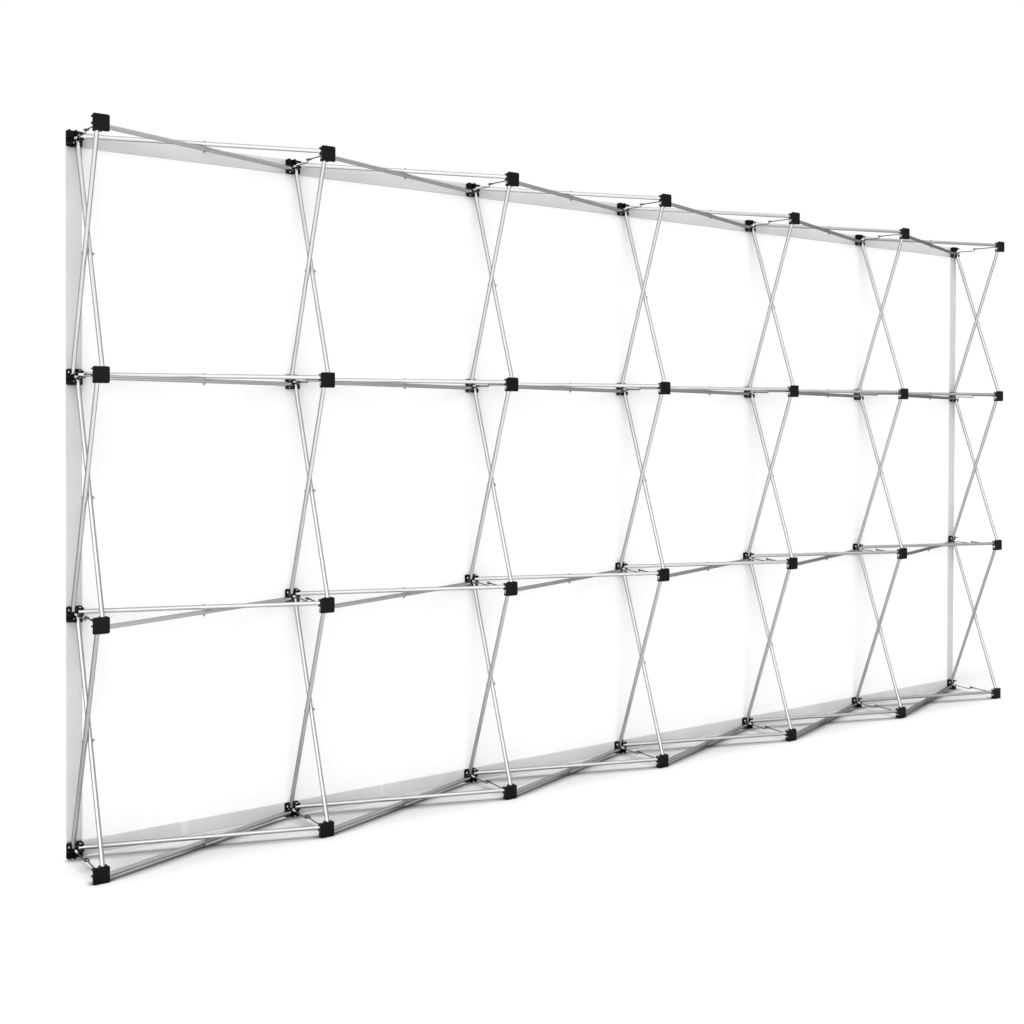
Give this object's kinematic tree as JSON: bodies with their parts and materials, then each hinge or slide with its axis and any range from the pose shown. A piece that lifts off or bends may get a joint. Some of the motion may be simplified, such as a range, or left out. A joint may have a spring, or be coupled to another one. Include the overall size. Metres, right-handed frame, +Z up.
{
  "type": "banner wall",
  "caption": "Free-standing pop-up banner wall: crossing tubes between black hubs hold a stretched white fabric sheet, with hook-and-eye lock arms between the hubs.",
  "frame": {"origin": "on the floor, under the middle of the whole wall", "axes": "+X along the wall, +Y towards the back (the frame's side), -Y out of the banner's face, +Z up"},
  "size_m": [4.46, 0.278, 2.255],
  "materials": {
    "hub_plastic": "black moulded nylon, satin",
    "tube_aluminium": "drawn and anodised, satin silver",
    "tip_aluminium": "machined, bright",
    "pin_steel": "zinc plated",
    "bolt_steel": "zinc plated",
    "washer_plastic": "natural nylon",
    "arm_wire": "dark plated spring wire",
    "arm_sleeve": "bright crimped sleeve",
    "banner_fabric": "tension fabric, unprinted white",
    "loop_band": "brushed loop tape, light grey",
    "hook_pad": "hook tape, black"
  },
  "bodies": {
    "frame": {"back_hubs_row_1": "hub_plastic", "back_hubs_row_2": "hub_plastic", "back_hubs_row_3": "hub_plastic", "back_hubs_row_4": "hub_plastic", "front_hubs_row_1": "hub_plastic", "front_hubs_row_2": "hub_plastic", "front_hubs_row_3": "hub_plastic", "front_hubs_row_4": "hub_plastic", "row_1_upper_tubes": "tube_aluminium", "row_1_lower_tubes": "tube_aluminium", "row_2_upper_tubes": "tube_aluminium", "row_2_lower_tubes": "tube_aluminium", "row_3_upper_tubes": "tube_aluminium", "row_3_lower_tubes": "tube_aluminium", "row_4_upper_tubes": "tube_aluminium", "row_4_lower_tubes": "tube_aluminium", "column_1_left_tubes": "tube_aluminium", "column_1_right_tubes": "tube_aluminium", "column_2_left_tubes": "tube_aluminium", "column_2_right_tubes": "tube_aluminium", "column_3_left_tubes": "tube_aluminium", "column_3_right_tubes": "tube_aluminium", "column_4_left_tubes": "tube_aluminium", "column_4_right_tubes": "tube_aluminium", "column_5_left_tubes": "tube_aluminium", "column_5_right_tubes": "tube_aluminium", "column_6_left_tubes": "tube_aluminium", "column_6_right_tubes": "tube_aluminium", "column_7_left_tubes": "tube_aluminium", "column_7_right_tubes": "tube_aluminium", "row_tube_tips": "tip_aluminium", "column_tube_tips": "tip_aluminium", "row_tube_pins": "pin_steel", "column_tube_pins": "pin_steel", "crossing_bolts": "bolt_steel", "crossing_nuts": "bolt_steel", "crossing_washers": "washer_plastic", "arm_pins": "pin_steel", "banner_sheet": "banner_fabric", "band_top": "loop_band", "band_bottom": "loop_band", "band_left": "loop_band", "band_right": "loop_band", "hook_pads": "hook_pad"},
    "hook_arms_row_1": {"hook_arm_wires_row_1": "arm_wire", "hook_arm_sleeves_row_1": "arm_sleeve"},
    "hook_arms_row_2": {"hook_arm_wires_row_2": "arm_wire", "hook_arm_sleeves_row_2": "arm_sleeve"},
    "hook_arms_row_3": {"hook_arm_wires_row_3": "arm_wire", "hook_arm_sleeves_row_3": "arm_sleeve"},
    "hook_arms_row_4": {"hook_arm_wires_row_4": "arm_wire", "hook_arm_sleeves_row_4": "arm_sleeve"},
    "eye_arms_row_1": {"eye_arm_wires_row_1": "arm_wire", "eye_arm_sleeves_row_1": "arm_sleeve"},
    "eye_arms_row_2": {"eye_arm_wires_row_2": "arm_wire", "eye_arm_sleeves_row_2": "arm_sleeve"},
    "eye_arms_row_3": {"eye_arm_wires_row_3": "arm_wire", "eye_arm_sleeves_row_3": "arm_sleeve"},
    "eye_arms_row_4": {"eye_arm_wires_row_4": "arm_wire", "eye_arm_sleeves_row_4": "arm_sleeve"}
  },
  "joints": [
    {"name": "hook_arms_row_1_swing", "type": "hinge", "parent": "frame", "child": "hook_arms_row_1", "pos_m": [0, -0.122, 2.23], "axis": [1, 0, 0], "range_deg": [-35, 0]},
    {"name": "hook_arms_row_2_swing", "type": "hinge", "parent": "frame", "child": "hook_arms_row_2", "pos_m": [0, -0.122, 1.495], "axis": [1, 0, 0], "range_deg": [-35, 0]},
    {"name": "hook_arms_row_3_swing", "type": "hinge", "parent": "frame", "child": "hook_arms_row_3", "pos_m": [0, -0.122, 0.76], "axis": [1, 0, 0], "range_deg": [-35, 0]},
    {"name": "hook_arms_row_4_swing", "type": "hinge", "parent": "frame", "child": "hook_arms_row_4", "pos_m": [0, -0.122, 0.025], "axis": [1, 0, 0], "range_deg": [-8, 0]},
    {"name": "eye_arms_row_1_swing", "type": "hinge", "parent": "frame", "child": "eye_arms_row_1", "pos_m": [0, 0.125, 2.23], "axis": [1, 0, 0], "range_deg": [-35, 0]},
    {"name": "eye_arms_row_2_swing", "type": "hinge", "parent": "frame", "child": "eye_arms_row_2", "pos_m": [0, 0.125, 1.495], "axis": [1, 0, 0], "range_deg": [-35, 0]},
    {"name": "eye_arms_row_3_swing", "type": "hinge", "parent": "frame", "child": "eye_arms_row_3", "pos_m": [0, 0.125, 0.76], "axis": [1, 0, 0], "range_deg": [-35, 0]},
    {"name": "eye_arms_row_4_swing", "type": "hinge", "parent": "frame", "child": "eye_arms_row_4", "pos_m": [0, 0.125, 0.025], "axis": [1, 0, 0], "range_deg": [-35, 0]}
  ]
}
